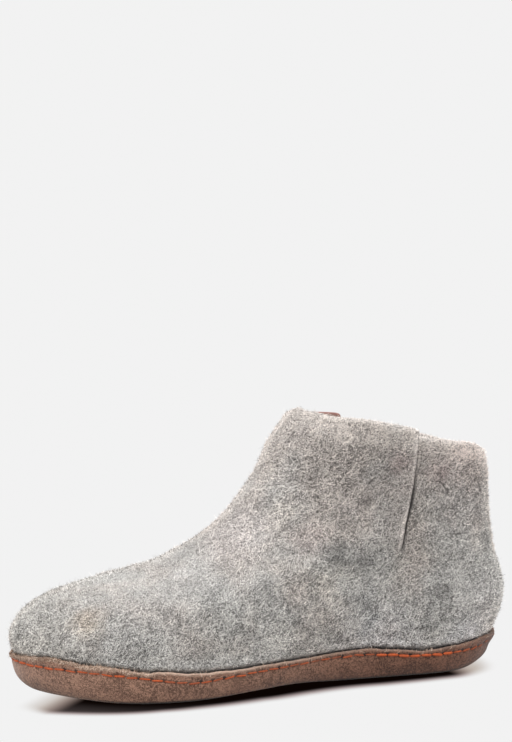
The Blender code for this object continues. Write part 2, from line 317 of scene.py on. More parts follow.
def make_piece(name, points, quads, material, node=None, uv=None, tone=None, lie=None):
    """Mesh object from arrays, without unused points, riding on the slipper's one body.

    It keeps the sewing's UV, the tone and the lie where they are given.
    """
    used, faces = np.unique(quads, return_inverse=True)
    faces = faces.reshape(quads.shape)
    mesh = bpy.data.meshes.new(name)
    mesh.vertices.add(len(used))
    mesh.vertices.foreach_set("co", points.reshape(-1, 3)[used].astype(np.float32).ravel())
    mesh.loops.add(faces.size)
    mesh.loops.foreach_set("vertex_index", faces.astype(np.int32).ravel())
    mesh.polygons.add(len(faces))
    mesh.polygons.foreach_set("loop_start", np.arange(0, faces.size, 4, dtype=np.int32))
    if uv is not None:
        mesh.uv_layers.new(name="sewing").data.foreach_set("uv", uv.astype(np.float32).ravel())
    if tone is not None:
        kept = mesh.attributes.new("tone", "FLOAT", "POINT")
        kept.data.foreach_set("value", tone.reshape(-1)[used].astype(np.float32))
    if lie is not None:
        kept = mesh.attributes.new("lie", "FLOAT_VECTOR", "POINT")
        kept.data.foreach_set("vector", lie.reshape(-1, 3)[used].astype(np.float32).ravel())
    mesh.update(calc_edges=True)
    mesh.validate()
    mesh.shade_smooth()
    mesh.materials.append(material)
    piece = bpy.data.objects.new(name, mesh)
    bpy.context.collection.objects.link(piece)
    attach(piece, "root")
    if node:
        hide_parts(node)


# Node helpers

def add_node(tree, kind, **values):
    """New node; values set its sockets by name, or by number as i0, i1, or its settings as set_ and a name."""
    node = tree.nodes.new(kind)
    for key, value in values.items():
        if key.startswith("set_"):
            setattr(node, key[4:], value)
            continue
        numbered = key[0] == "i" and key[1:].isdigit()
        socket = node.inputs[int(key[1:]) if numbered else key.replace("_", " ")]
        if isinstance(value, bpy.types.NodeSocket):
            tree.links.new(value, socket)
        else:
            socket.default_value = value
    return node


def maths(tree, operation, a, b=0.0, c=0.0):
    """Result of one Math node."""
    return add_node(tree, "ShaderNodeMath", set_operation=operation, i0=a, i1=b, i2=c).outputs[0]


def ramp(tree, value, low, high, to_low=0.0, to_high=1.0):
    """Value eased from one range to another."""
    limits = dict(From_Min=low, From_Max=high, To_Min=to_low, To_Max=to_high)
    node = add_node(tree, "ShaderNodeMapRange", set_interpolation_type="SMOOTHSTEP", Value=value, **limits)
    return node.outputs["Result"]


def mix_colour(tree, share, a, b, blend="MIX"):
    """Result of one colour Mix node."""
    settings = dict(set_data_type="RGBA", set_blend_type=blend)
    return add_node(tree, "ShaderNodeMix", **settings, i0=share, i6=a, i7=b).outputs[2]


def times(tree, a, b):
    """One colour times another."""
    return mix_colour(tree, 1.0, a, b, "MULTIPLY")


def scaled(tree, colour, level):
    """Colour times a level."""
    grey = add_node(tree, "ShaderNodeCombineXYZ", X=level, Y=level, Z=level).outputs["Vector"]
    return times(tree, colour, grey)


def attribute(tree, name, output="Fac"):
    """Value that the mesh keeps under a name."""
    return add_node(tree, "ShaderNodeAttribute", set_attribute_name=name).outputs[output]


def object_place(tree):
    """Place on the object, and its three coordinates."""
    place = add_node(tree, "ShaderNodeTexCoord").outputs["Object"]
    return place, add_node(tree, "ShaderNodeSeparateXYZ", Vector=place).outputs


def noise(tree, place, scale, detail=3.0, roughness=0.6, distortion=0.0):
    """Value of one Noise texture."""
    values = dict(Vector=place, Scale=scale, Detail=detail, Roughness=roughness, Distortion=distortion)
    return add_node(tree, "ShaderNodeTexNoise", **values).outputs["Fac"]


def new_group(name, inputs, outputs):
    """Empty shader node group with its sockets; returns the tree, the group's inputs and its output node."""
    tree = bpy.data.node_groups.new(name, "ShaderNodeTree")
    for label, kind, value in inputs:
        socket = tree.interface.new_socket(label, in_out="INPUT", socket_type=kind)
        socket.default_value = value
    for label, kind in outputs:
        tree.interface.new_socket(label, in_out="OUTPUT", socket_type=kind)
    entry = tree.nodes.new("NodeGroupInput")
    leave = tree.nodes.new("NodeGroupOutput")
    return tree, entry.outputs, leave.inputs


def use_group(tree, group, **values):
    """Group node placed in a material with its own values."""
    return add_node(tree, "ShaderNodeGroup", set_node_tree=group, **values).outputs


def new_material(name, roughness, **constants):
    """Material with a Principled shader; constants set its sockets directly."""
    material = bpy.data.materials.new(name)
    material.use_nodes = True
    tree = material.node_tree
    shader = tree.nodes["Principled BSDF"]
    shader.inputs["Roughness"].default_value = roughness
    for key, value in constants.items():
        shader.inputs[key.replace("_", " ")].default_value = value
    return material, tree, shader


def bump(tree, height, strength, distance):
    """Normal bent by a height."""
    values = dict(Height=height, Strength=strength, Distance=distance)
    return add_node(tree, "ShaderNodeBump", **values).outputs["Normal"]


# Wool and suede patterns

# place, radius, tint, strength of soft patches: some where fibres of another shade lie thicker, some painted
# light and shade that lift or lower the wool's brightness
WOOL_PATCHES = (
    ((-0.106, -0.033, 0.041), 0.013, (1.10, 0.995, 0.88), 0.80),
    ((-0.106, -0.039, 0.029), 0.009, (0.86, 0.82, 0.80), 0.70),
    ((-0.118, -0.010, 0.030), 0.050, (0.95, 0.935, 0.910), 1.00),
    ((-0.132, -0.016, 0.026), 0.014, (1.25, 1.24, 1.23), 0.80),
    ((-0.040, -0.048, 0.040), 0.026, (0.80, 0.82, 0.82), 0.40),
    ((-0.022, -0.020, 0.080), 0.026, (1.20, 1.21, 1.25), 0.90),
    ((-0.008, -0.046, 0.028), 0.017, (1.30, 1.29, 1.28), 0.85),
    ((0.000, -0.026, 0.090), 0.011, (1.34, 1.33, 1.31), 0.80),
    ((-0.013, -0.040, 0.062), 0.014, (0.84, 0.84, 0.84), 0.80),
    ((0.012, -0.036, 0.077), 0.016, (0.94, 0.87, 0.86), 0.90),
    ((0.026, -0.041, 0.070), 0.012, (0.54, 0.55, 0.55), 1.00),
    ((0.041, -0.039, 0.065), 0.011, (0.66, 0.66, 0.66), 0.90),
    ((0.017, -0.042, 0.056), 0.018, (1.26, 1.25, 1.22), 0.80),
    ((0.034, -0.036, 0.092), 0.008, (1.20, 1.20, 1.22), 0.80),
    ((0.034, -0.035, 0.118), 0.014, (1.24, 1.24, 1.24), 0.80),
    ((0.055, -0.036, 0.100), 0.030, (0.90, 0.84, 0.83), 0.40),
    ((0.061, -0.038, 0.116), 0.011, (0.78, 0.71, 0.72), 0.80),
    ((0.085, -0.037, 0.109), 0.010, (0.80, 0.74, 0.75), 0.80),
    ((0.043, -0.037, 0.095), 0.0045, (0.55, 0.55, 0.55), 0.80),
    ((0.034, -0.040, 0.058), 0.009, (1.22, 1.22, 1.20), 0.80),
    ((0.074, -0.037, 0.088), 0.014, (1.12, 1.12, 1.10), 0.80),
    ((0.050, -0.039, 0.018), 0.036, (1.04, 1.07, 1.13), 0.90),
    ((0.001, -0.045, 0.050), 0.012, (1.22, 1.16, 1.13), 0.90),
    ((0.113, -0.034, 0.033), 0.030, (1.18, 1.17, 1.19), 1.00),
    ((0.098, -0.037, 0.020), 0.018, (1.18, 1.21, 1.27), 0.90),
    ((0.080, -0.040, 0.045), 0.013, (0.84, 0.84, 0.84), 0.80),
    ((0.103, -0.037, 0.055), 0.013, (0.84, 0.84, 0.84), 0.80),
    ((0.098, -0.034, 0.116), 0.014, (1.16, 1.16, 1.17), 0.80),
    ((0.105, -0.030, 0.105), 0.045, (1.08, 1.04, 1.04), 1.00),
    ((-0.036, -0.048, 0.050), 0.011, (1.20, 1.20, 1.20), 0.80),
    ((0.033, -0.038, 0.079), 0.010, (0.80, 0.80, 0.80), 0.80),
    ((0.078, -0.038, 0.068), 0.010, (0.84, 0.84, 0.83), 0.80),
    ((0.091, -0.037, 0.105), 0.011, (0.84, 0.83, 0.83), 0.80),
    ((0.102, -0.039, 0.033), 0.009, (0.86, 0.86, 0.86), 0.80),
    ((-0.003, -0.046, 0.027), 0.009, (1.20, 1.20, 1.20), 0.80),
    ((0.009, -0.043, 0.031), 0.008, (0.84, 0.84, 0.85), 0.80),
    ((0.116, -0.032, 0.022), 0.010, (1.22, 1.22, 1.22), 0.80),
    ((0.056, -0.038, 0.091), 0.010, (0.85, 0.85, 0.85), 0.80),
    ((0.016, -0.031, 0.102), 0.010, (1.15, 1.15, 1.15), 0.80),
    ((0.060, -0.038, 0.057), 0.012, (0.87, 0.87, 0.86), 0.80),
    ((-0.071, -0.026, 0.057), 0.012, (1.16, 1.16, 1.16), 0.80),
    ((-0.054, -0.025, 0.062), 0.014, (1.16, 1.16, 1.17), 0.80),
    ((-0.036, -0.021, 0.070), 0.013, (1.14, 1.14, 1.15), 0.80),
    ((-0.002, -0.014, 0.110), 0.013, (1.22, 1.21, 1.20), 0.90),
)


def wool_mottle_group():
    """Wool colour, tint and height from five sizes of noise.

    The tint is cool to warm, warmer and darker up the shaft, darker toward the toe, brighter or darker in
    clouds and blotches, and has the soft patches. The colour is the tint on a dark to light scale of tufts and
    flecks, which also give the height.
    """
    inputs = (("Light", "NodeSocketColor", FELT_LIGHT), ("Dark", "NodeSocketColor", FELT_DARK))
    outputs = (("Color", "NodeSocketColor"), ("Tint", "NodeSocketColor"), ("Height", "NodeSocketFloat"))
    tree, given, result = new_group("wool_mottle", inputs, outputs)
    place, (along_foot, _, high) = object_place(tree)
    cloud = noise(tree, place, 34.0, 2.0, 0.5)
    blotch = noise(tree, place, 120.0, 3.0, 0.6, 0.4)
    tuft = noise(tree, place, 800.0, 3.0, 0.65, 0.8)
    fleck = noise(tree, place, 2200.0, 2.0, 0.6, 0.6)
    warm = noise(tree, place, 26.0, 2.0, 0.5)
    warm = maths(tree, "ADD", warm, ramp(tree, high, 0.03, 0.11, -0.10, 0.14))
    tint = mix_colour(tree, ramp(tree, warm, 0.36, 0.68), COOL_WOOL, WARM_WOOL)
    level = maths(tree, "MULTIPLY_ADD", cloud, 0.26, maths(tree, "MULTIPLY_ADD", blotch, 0.36, 0.705))
    level = maths(tree, "MULTIPLY", level, ramp(tree, high, 0.045, 0.115, 1.05, 0.95))
    level = maths(tree, "MULTIPLY", level, ramp(tree, along_foot, -0.05, 0.01, 0.945, 1.0))
    tint = scaled(tree, tint, level)
    for centre, radius, patch, strength in WOOL_PATCHES:
        away = add_node(tree, "ShaderNodeVectorMath", set_operation="DISTANCE", i0=place, i1=centre)
        away = maths(tree, "SUBTRACT", away.outputs["Value"], radius * 0.45)
        away = maths(tree, "MULTIPLY_ADD", blotch, radius * 0.9, away)
        cover = ramp(tree, away, 0.0, radius, strength, 0.0)
        tint = mix_colour(tree, cover, tint, times(tree, tint, patch + (1.0,)))
    share = maths(tree, "MULTIPLY_ADD", tuft, 0.40, maths(tree, "MULTIPLY", fleck, 0.60))
    grey = mix_colour(tree, ramp(tree, share, 0.38, 0.64), given["Dark"], given["Light"])
    tree.links.new(times(tree, tint, grey), result["Color"])
    tree.links.new(tint, result["Tint"])
    tree.links.new(share, result["Height"])
    return tree


def nap_group():
    """Suede or leather colour share and height: brushed patches and specks over fine grain."""
    inputs = (("Patch Scale", "NodeSocketFloat", 60.0), ("Grain Scale", "NodeSocketFloat", 1900.0))
    outputs = (("Share", "NodeSocketFloat"), ("Height", "NodeSocketFloat"))
    tree, given, result = new_group("nap", inputs, outputs)
    place, _ = object_place(tree)
    patch = noise(tree, place, given["Patch Scale"], 3.0, 0.6, 0.6)
    grain = noise(tree, place, given["Grain Scale"], 3.0, 0.7, 0.3)
    speck = noise(tree, place, maths(tree, "MULTIPLY", given["Grain Scale"], 0.4), 2.0, 0.5, 0.3)
    share = maths(tree, "MULTIPLY_ADD", speck, 0.35, maths(tree, "MULTIPLY", grain, 0.95))
    share = maths(tree, "MULTIPLY_ADD", patch, 0.30, share)
    tree.links.new(ramp(tree, share, 0.665, 0.935), result["Share"])
    tree.links.new(grain, result["Height"])
    return tree


wool_mottle = wool_mottle_group()
nap = nap_group()


def painted_fuzz_sheen(tree, colour):
    """Colour raised where the wool is seen at a glancing angle: a painted sheen, as its fuzz catches the light
    there.
    """
    facing = add_node(tree, "ShaderNodeLayerWeight", Blend=0.5).outputs["Facing"]
    return scaled(tree, colour, ramp(tree, facing, 0.50, 0.95, 1.0, 1.9))


def felt_material(name, **colours):
    """Felted wool: mottled colour times the mesh's tone, tufted height, a painted sheen brighter at a glancing
    angle.
    """
    material, tree, shader = new_material(name, 0.95, Sheen_Weight=0.15, Sheen_Roughness=0.6)
    wool = use_group(tree, wool_mottle, **colours)
    colour = times(tree, wool["Color"], attribute(tree, "tone", "Vector"))
    tree.links.new(painted_fuzz_sheen(tree, colour), shader.inputs["Base Color"])
    tree.links.new(bump(tree, wool["Height"], 0.8, 0.0006), shader.inputs["Normal"])
    return material


def painted_edge_sheen(tree, colour):
    """Colour raised where the felt under a fibre is seen at a glancing angle, a painted sheen: early on sides,
    late on tops.
    """
    lie = attribute(tree, "lie", "Vector")
    facing = add_node(tree, "ShaderNodeLayerWeight", Blend=0.5, Normal=lie).outputs["Facing"]
    up = ramp(tree, add_node(tree, "ShaderNodeSeparateXYZ", Vector=lie).outputs["Z"], 0.2, 0.8)
    side = ramp(tree, facing, 0.15, 0.95, 1.0, 1.55)
    top = ramp(tree, facing, 0.60, 0.92, 1.0, 1.36)
    level = maths(tree, "MULTIPLY_ADD", up, maths(tree, "SUBTRACT", top, side), side)
    return scaled(tree, colour, level)


def fibre_material():
    """Loose wool: the felt's tint on each fibre's own tone, nearly black to nearly white, with a painted sheen.
    """
    material, tree, shader = new_material("loose_wool", 0.9, Sheen_Weight=0.1)
    own = mix_colour(tree, attribute(tree, "tone"), FIBRE_DARK, FIBRE_PALE)
    colour = times(tree, own, use_group(tree, wool_mottle)["Tint"])
    tree.links.new(painted_edge_sheen(tree, colour), shader.inputs["Base Color"])
    return material


def stitch_holes(tree, sewing, ragged):
    """Share of a pricked hole by distance from the ends of stitches along and beside the sewing; some faint."""
    along = maths(tree, "PINGPONG", sewing["X"], 0.5)
    beside = maths(tree, "MULTIPLY", maths(tree, "ADD", sewing["Y"], 0.032), 0.01 / STITCH_PITCH)
    away = maths(tree, "MULTIPLY_ADD", along, along, maths(tree, "MULTIPLY", beside, beside))
    away = maths(tree, "MULTIPLY_ADD", ragged, 0.12, maths(tree, "SQRT", away))
    which = maths(tree, "ROUND", sewing["X"])
    which = add_node(tree, "ShaderNodeTexWhiteNoise", set_noise_dimensions="1D", W=which).outputs["Value"]
    clear = ramp(tree, which, 0.1, 0.8, 0.20, 1.0)
    return maths(tree, "MULTIPLY", ramp(tree, away, 0.17, 0.29, 1.0, 0.0), clear)


def suede_material():
    """Napped suede: brown patches, pale at the cut edge, painted contact shadow at the ground, painted shade in
    holes.
    """
    material, tree, shader = new_material("suede_nap", 0.92, Sheen_Weight=0.25, Sheen_Roughness=0.5)
    grain = use_group(tree, nap)
    sewing = add_node(tree, "ShaderNodeUVMap", set_uv_map="sewing").outputs["UV"]
    sewing = add_node(tree, "ShaderNodeSeparateXYZ", Vector=sewing).outputs
    _, (along_foot, _, high) = object_place(tree)
    toward_heel = ramp(tree, along_foot, -0.13, 0.11)
    rougher = maths(tree, "MULTIPLY_ADD", toward_heel, 0.9, 1.0)
    share = maths(tree, "MULTIPLY_ADD", maths(tree, "SUBTRACT", grain["Share"], 0.5), rougher, 0.5)
    colour = mix_colour(tree, share, SUEDE_DARK, SUEDE_LIGHT)
    colour = times(tree, colour, mix_colour(tree, toward_heel, SUEDE_AT_TOE, SUEDE_AT_HEEL))
    cut = maths(tree, "POWER", attribute(tree, "tone"), 10.0)
    cut = maths(tree, "MULTIPLY", cut, maths(tree, "MULTIPLY_ADD", toward_heel, -0.60, 0.75))
    cut = maths(tree, "MULTIPLY", cut, ramp(tree, along_foot, -0.115, -0.070, 0.50, 1.0))
    colour = mix_colour(tree, cut, colour, SUEDE_CUT)
    # painted contact shadow: the suede's side nearly black in its lowest two millimetres, but not under the foot
    on_side = maths(tree, "LESS_THAN", sewing["Y"], 1.5)
    contact_shade = maths(tree, "MULTIPLY", ramp(tree, high, 0.0004, 0.0024, 0.92, 0.0), on_side)
    colour = mix_colour(tree, contact_shade, colour, SUEDE_CONTACT_SHADE)
    hole = stitch_holes(tree, sewing, grain["Height"])
    # painted shade inside the pricked holes, which the bump also dents
    tree.links.new(mix_colour(tree, hole, colour, SUEDE_HOLE_SHADE), shader.inputs["Base Color"])
    height = maths(tree, "MULTIPLY_ADD", hole, -1.0, maths(tree, "MULTIPLY", grain["Height"], 0.6))
    tree.links.new(bump(tree, height, 0.6, 0.0006), shader.inputs["Normal"])
    return material


def fray_material():
    """Pale tan fibres of the suede's raw cut edge."""
    material, tree, shader = new_material("suede_fray", 0.9, Sheen_Weight=0.1)
    colour = mix_colour(tree, attribute(tree, "tone"), FRAY_DARK, FRAY_PALE)
    tree.links.new(colour, shader.inputs["Base Color"])
    return material


def thread_material():
    """Waxed orange thread with a faint twist; each stitch's tone runs from dull to bright."""
    material, tree, shader = new_material("orange_thread", 0.6)
    place, _ = object_place(tree)
    colour = mix_colour(tree, attribute(tree, "tone"), THREAD_DULL, THREAD_BRIGHT)
    twist = ramp(tree, noise(tree, place, 900.0, 2.0), 0.3, 0.7, 0.75, 1.15)
    tree.links.new(scaled(tree, colour, twist), shader.inputs["Base Color"])
    return material


def tab_material():
    """Smooth red-brown leather."""
    material, tree, shader = new_material("tab_leather_grain", 0.55)
    grain = use_group(tree, nap, Patch_Scale=140.0, Grain_Scale=2200.0)
    tree.links.new(mix_colour(tree, grain["Share"], TAB_DARK, TAB_LIGHT), shader.inputs["Base Color"])
    tree.links.new(bump(tree, grain["Height"], 0.3, 0.0003), shader.inputs["Normal"])
    return material


# Felt upper

# angle, width in degrees, rise of the collar's soft waves
COLLAR_WAVES = (
    (200.0, 11.0, -0.0010), (170.0, 7.5, 0.0030), (154.0, 20.0, 0.0012), (136.0, 8.0, -0.0006),
    (112.0, 14.0, 0.0006), (245.0, 18.0, -0.0016), (312.0, 20.0, -0.0003), (50.0, 18.0, 0.0016),
    (20.0, 10.0, -0.0002), (177.0, 8.0, 0.0007),
)

# angle, level, width in degrees, height in levels, depth of soft troughs and ridges pressed into the felt
FELT_DENTS = (
    (112.0, 6.9, 22.0, 1.2, -0.0014),
    (176.0, 8.7, 14.0, 0.6, 0.0009),
    (62.0, 4.2, 26.0, 1.3, -0.0010),
    (135.0, 4.6, 16.0, 0.8, 0.0010),
    (35.0, 6.4, 20.0, 1.2, -0.0010),
    (250.0, 6.5, 24.0, 1.2, -0.0012),
    (300.0, 4.4, 26.0, 1.2, -0.0010),
)


def felt_relief(points, angle, level):
    """Height of the felt over its plain form: lumps of three sizes, dents, a tuck and a swell at the sewing."""
    relief = 0.00055 * lumps(points, 0.026, 1) + 0.00040 * lumps(points, 0.010, 2)
    relief = relief + 0.00022 * lumps(points, 0.0042, 3)
    for at, high, wide, tall, depth in FELT_DENTS:
        turn = turn_from(at, angle)
        relief = relief + depth * np.exp(-((turn / wide) ** 2) - ((level - high) / tall) ** 2)
    above = level - cut_edge(angle) / LEVEL_RISE
    seam = SWELL * bell((above - 0.40) / 0.22)
    seam = seam - TUCK * bell(np.maximum(above, 0.0) / 0.16)
    return (relief - FUZZ) * smooth(level / 0.8) + seam


def lip_shift(points, normals, angle, level):
    """Collar waved, and the slit's lips fading from it: the front one out and up, the rear one in and down."""
    run = np.linalg.norm(np.diff(points, axis=1), axis=-1)
    from_front = np.concatenate([np.zeros((len(points), 1)), np.cumsum(run, axis=1)], axis=1)
    from_rear = from_front[:, -1:] - from_front
    front = bell(from_front / 0.012)
    rear = bell(from_rear / 0.012)
    opened = smooth((level - SLIT_LEVEL) / 0.5)[:, None, None]
    spread = 1.00 + 0.45 * bell((level - 6.8) / 0.5) - smooth((level - 7.3) / 0.9)
    gap = opened * spread[:, None, None]
    raised = smooth((level - 6.5) / 2.5)[:, None]
    along = unit(np.gradient(points, axis=1))
    shifted = points + opened * SLIT_STEP * (front - rear)[..., None] * normals
    shifted = shifted + gap * 0.5 * SLIT_GAP * (front - rear)[..., None] * along
    lift = FRONT_LIP_LIFT * bell(from_front / 0.040)
    drop = REAR_LIP_DROP * bell(from_rear / 0.026)
    shifted[..., 2] += raised * (lift - drop + hand_waves(angle, COLLAR_WAVES))
    return shifted


def felt_ring():
    """Rows of the felt shell: up the outer face from its foot, over the half-round rim, down the inner face.

    Returns them with the row where the slit ends and the number of rows up to the rim.
    """
    levels = np.concatenate([np.linspace(0.0, 0.6, 14)[:-1], np.linspace(0.6, len(LEVELS) - 1.0, 94)])
    levels[np.argmin(np.abs(levels - SLIT_LEVEL))] = SLIT_LEVEL
    turns = (FELT_FOOT, 52.0, 26.0)
    slit = np.interp(levels, *zip(*SLIT_ANGLES))
    steps = np.linspace(0.0, 360.0, COLUMNS + 1)
    angle = slit[:, None] + steps
    level = np.broadcast_to(levels[:, None], angle.shape)
    normals = felt_normal(angle, level)
    plain = felt_surface(angle, level)
    outer = plain + felt_relief(plain, angle, level)[..., None] * normals
    inner = plain - (FELT + 0.0003 * lumps(plain, 0.011, 5))[..., None] * normals
    outer = lip_shift(outer, normals, angle, levels)
    inner = lip_shift(inner, normals, angle, levels)
    foot = slit[0] + steps
    foot_outer = [tray(foot, turn, -TUCK, SOLE_FLOOR + GAP) for turn in turns]
    foot_inner = [tray(foot, turn, -FELT, SOLE_FLOOR + GAP) for turn in turns]
    outer = np.concatenate([foot_outer, outer])
    inner = np.concatenate([foot_inner, inner])
    top = 0.5 * (outer[-1] + inner[-1])
    rise = 0.5 * FELT * (1.05 + 0.30 * lumps(top, 0.016, 7) + 0.25 * lumps(top, 0.006, 8))
    up = rise[:, None] * unit(outer[-1] - outer[-2])
    bend = np.radians(np.linspace(0.0, 180.0, 12)[1:-1])[:, None, None]
    rim = top + np.cos(bend) * (outer[-1] - top) + np.sin(bend) * up
    ring = np.concatenate([outer, rim, inner[::-1]])
    return ring, len(turns) + int(np.searchsorted(levels, SLIT_LEVEL)), len(outer)


def rim_painted_highlight(ring, outer_rows):
    """Share of painted highlight on the wool by height below the rim: a deep band in front, a narrow one behind.
    """
    below = ring[outer_rows - 1, :, 2] - ring[..., 2]
    reach = 0.0072 + 0.0025 * smooth((0.050 - ring[..., 0]) / 0.030)
    strong = 1.15 - 0.55 * smooth((0.035 - ring[..., 0]) / 0.030)
    return strong * bell(np.maximum(below, 0.0) / reach)


def seam_shade(ring):
    """Share of painted shade in the crevice over the suede's ragged edge, by height: thin in front, thick behind
    the arch.
    """
    foot = np.interp(0.0, *zip(*SLIT_ANGLES)) + np.linspace(0.0, 360.0, ring.shape[1])
    above = ring[..., 2] - plan_offset(foot, np.zeros_like(foot))[:, 2] - cut_edge(foot)
    above = np.maximum(above + 0.0005 * lumps(ring, 0.0018, 17), 0.0)
    back = smooth((ring[..., 0] - 0.005) / 0.03)
    return bell(above / (0.0009 + 0.0007 * back)) * (0.62 + 0.28 * back)


def build_felt(ring, slit_row, glow, shade, material):
    """Closed felt shell: quads round the ring, and the slit's two cut faces between its outer and inner rows.

    The tone is 1, paler by the rim's painted highlight and at the front lip, with painted shade in the lower slit
    and at the suede.
    """
    rows, columns = ring.shape[:2]
    place = np.arange(columns)
    row = np.arange(rows)
    depth = np.minimum(row, rows - 1 - row)[:, None]
    fade = 1.0 - 0.8 * smooth((depth - SLIT_FADE_ROW) / SLIT_FADE_ROWS)
    slit = depth >= slit_row
    # painted highlight below the rim, painted shade in the crevice at the suede
    tone = (1.0 + 0.50 * glow) * (1.0 - shade)
    # front lip: pale cut edge of the felt with a painted highlight; cut faces in the slit: painted shade, fading
    # toward the collar
    tone = tone + slit * bell((place - 1.1) / 0.9)
    tone = tone - slit * fade * 0.80 * bell((place - columns + 1) / 0.9)
    index = np.arange(rows * columns).reshape(rows, columns)
    whole = np.r_[0:slit_row + 1, rows - 1 - slit_row:rows]
    index[whole, -1] = index[whole, 0]
    quads = quads_between(np.concatenate([index, index[:1]]))
    cut = close_edges(index, np.arange(slit_row, rows // 2 - 1))
    make_piece("felt_upper", ring, np.concatenate([quads, cut]), material, "upper", tone=tone)


# Loose wool

COMBED = 0.40             # share of fibres combed to rise toward the heel
COMB_HEADING = 2.45       # their heading, in radians from the felt's run
STANDING = 0.35           # share of fibres with a free end
SHORT_COUNT = 84000       # in each of three bands
CURLED_COUNT = 14000
LONG_COUNT = 14000
FRAY_COUNT = 3000
BAND_ROWS = (8, 38, 70)   # first row of each band of short wool
RIM_ROWS = 10             # rows of the rim that carry wool
FRAY_ROWS = (32, 39)      # rows of the suede at its cut edge
SEAM_SHADE = 2.6          # how much more the seam's painted shade shows in fibres than in felt
UNSLIT = 999              # slit row of a surface without a slit

# bends, range of length, range of lift, range of width, paleness of each kind of fibre
Fibre = namedtuple("Fibre", "bends length lift width pale")
SHORT = Fibre(1, (0.0005, 0.0014), (0.0001, 0.0014), (0.00020, 0.00034), 0.50)
CURLED = Fibre(3, (0.0018, 0.0042), (0.0002, 0.0016), (0.00015, 0.00026), 0.60)
LONG = Fibre(3, (0.0040, 0.0095), (0.0004, 0.0034), (0.00012, 0.00022), 0.72)
FRAY = Fibre(3, (0.0010, 0.0034), (0.0004, 0.0024), (0.00018, 0.00034), 0.50)

Surface = namedtuple("Surface", "grid slit_row step_row step_column normal area")


def surface_of(grid, slit_row=UNSLIT):
    """A grid with its steps between rows and columns, and their cross product as a normal and an area."""
    step_row = np.gradient(grid, axis=0)
    step_column = np.gradient(grid, axis=1)
    cross = np.cross(step_row, step_column)
    return Surface(grid, slit_row, step_row, step_column, unit(cross), np.linalg.norm(cross, axis=-1))


def between(limits, share):
    """Value at a share of the way from the first limit to the second."""
    return limits[0] + (limits[1] - limits[0]) * share


def sample(grid, row, column):
    """Bilinear value of a grid at fractional rows and columns."""
    r = np.clip(np.floor(row).astype(int), 0, grid.shape[0] - 2)
    c = np.clip(np.floor(column).astype(int), 0, grid.shape[1] - 2)
    f = (row - r)[..., None]
    g = (column - c)[..., None]
    near = grid[r, c] * (1.0 - g) + grid[r, c + 1] * g
    far = grid[r + 1, c] * (1.0 - g) + grid[r + 1, c + 1] * g
    return near * (1.0 - f) + far * f


def fibre_spots(surface, rows, count, favour, chance):
    """Random rows and columns, spread over a span of rows by its area, or by its area times a favour."""
    span = slice(*rows), slice(None, -1)
    weight = surface.area[span]
    if favour:
        weight = weight * favour(surface.grid[span])
    weight = weight.ravel()
    turns = surface.grid.shape[1] - 1
    spot = chance.choice(weight.size, size=count, p=weight / weight.sum())
    row = rows[0] + spot // turns + chance.random(count)
    column = spot % turns + chance.random(count)
    return row, column


def fibre_paths(surface, row, column, rows, fibre, chance):
    """Rows and columns along each fibre: an arc of random heading, length and curl, in steps of the grid.

    Fibres are shorter on faces that look up, stay in their span of rows, and are left out at the slit.
    """
    count = len(row)
    turns = surface.grid.shape[1] - 1
    at = row.astype(int), column.astype(int)
    column_size = np.linalg.norm(surface.step_column[at], axis=-1)
    skew = (surface.step_row[at] * unit(surface.step_column[at])).sum(axis=-1)
    row_size = surface.area[at] / column_size
    combed = chance.random(count) < COMBED
    comb = chance.normal(COMB_HEADING, 0.45, count)
    heading = np.where(combed, comb, chance.random(count) * 2.0 * math.pi)
    long = between(fibre.length, chance.random(count) ** 1.5)
    long = long * (1.0 - 0.40 * np.clip(surface.normal[at][:, 2], 0.0, 1.0))
    curl = chance.normal(0.0, 1.1, count)
    curl = np.where(np.abs(curl) < 0.1, 0.1, curl)
    t = np.linspace(0.0, 1.0, fibre.bends + 1)[:, None]
    forward = long * np.sin(curl * (t - 0.5)) / curl
    aside = long * (1.0 - np.cos(curl * (t - 0.5))) / curl
    rows_up = (forward * np.sin(heading) + aside * np.cos(heading)) / row_size
    path_row = np.clip(row + rows_up, rows[0] - 1.0, rows[1] + 1.0)
    sideways = forward * np.cos(heading) - aside * np.sin(heading) - rows_up * skew
    path_column = column + sideways / column_size
    unslit = (row < surface.slit_row) | (row > len(surface.grid) - surface.slit_row)
    path_column = np.where(unslit, np.mod(path_column, turns), np.clip(path_column, 0.0, turns))
    jump = unslit & (np.ptp(path_column, axis=0) > turns / 2)
    path_column[:, jump] = column[jump]
    clear = unslit | ((path_column.min(axis=0) > 2.0) & (path_column.max(axis=0) < turns - 0.9))
    return path_row[:, clear], path_column[:, clear]


def fibre_ribbons(surface, path_row, path_column, fibre, chance):
    """Two sides of each fibre, tapering to its tip, with the surface's normal along it.

    A path is raised off the surface by its lift: as an arch where it lies, toward its end where it stands.
    """
    count = path_row.shape[1]
    t = np.linspace(0.0, 1.0, fibre.bends + 1)[:, None]
    out = unit(sample(surface.normal, path_row, path_column))
    standing = chance.random(count) < STANDING
    high = between(fibre.lift, chance.random(count) ** 2.5)
    arch = np.where(standing, t**1.4, 0.5 * np.sin(math.pi * t))
    point = sample(surface.grid, path_row, path_column) + out * (0.00004 + high * arch)[..., None]
    tangent = unit(np.gradient(point, axis=0) + 1e-9)
    across = unit(np.cross(out, tangent) + 1e-9)
    half = 0.5 * between(fibre.width, chance.random(count)) * (1.0 - 0.75 * t**2)
    sides = np.stack([point - across * half[..., None], point + across * half[..., None]], axis=2)
    return np.moveaxis(sides, 1, 0), point.mean(axis=0), out


